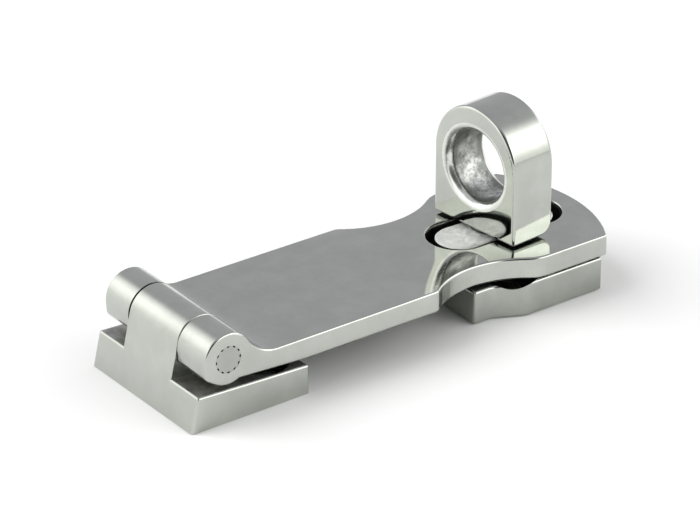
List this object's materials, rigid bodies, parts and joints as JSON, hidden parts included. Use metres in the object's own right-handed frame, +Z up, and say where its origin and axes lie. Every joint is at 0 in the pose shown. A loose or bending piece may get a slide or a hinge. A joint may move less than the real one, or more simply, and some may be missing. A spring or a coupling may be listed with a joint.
{
  "type": "swivel safety hasp and staple",
  "caption": "Cast stainless hasp whose slotted strap drops over a staple base and is locked down by turning a swivel padlock eye across the slot.",
  "frame": {"origin": "centre of the bounding box in plan, on the mounting surface under the hinge plate and the staple base", "axes": "+X from the hinge to the staple along the strap, +Y across, parallel to the hinge pin, +Z up from the mounting surface"},
  "size_m": [0.0762, 0.0256, 0.0282],
  "materials": {
    "mirror_steel": "mirror-polished cast stainless steel",
    "polished_cast": "polished cast stainless steel",
    "pin_steel": "turned stainless steel, dull polish",
    "spring_steel": "rolled stainless spring strip"
  },
  "bodies": {
    "hinge_plate": {"hinge_plate": "polished_cast"},
    "strap": {"hasp_strap": "mirror_steel", "hinge_pin": "pin_steel"},
    "staple": {"staple_base": "polished_cast", "spring_washer": "spring_steel"},
    "eye": {"swivel_eye": "mirror_steel", "retaining_washer": "pin_steel"}
  },
  "joints": [
    {"name": "strap_hinge", "type": "hinge", "parent": "hinge_plate", "child": "strap", "pos_m": [-0.0319, 0, 0.0096], "axis": [0, -1, 0], "range_deg": [0, 160]},
    {"name": "staple_lift", "type": "slide", "parent": "strap", "child": "staple", "axis": [0, 0, 1], "range_m": [-0.0002, 0.0002]},
    {"name": "eye_swivel", "type": "hinge", "parent": "staple", "child": "eye", "pos_m": [0.0232, 0, 0.00915], "axis": [0, 0, 1], "continuous": true}
  ]
}
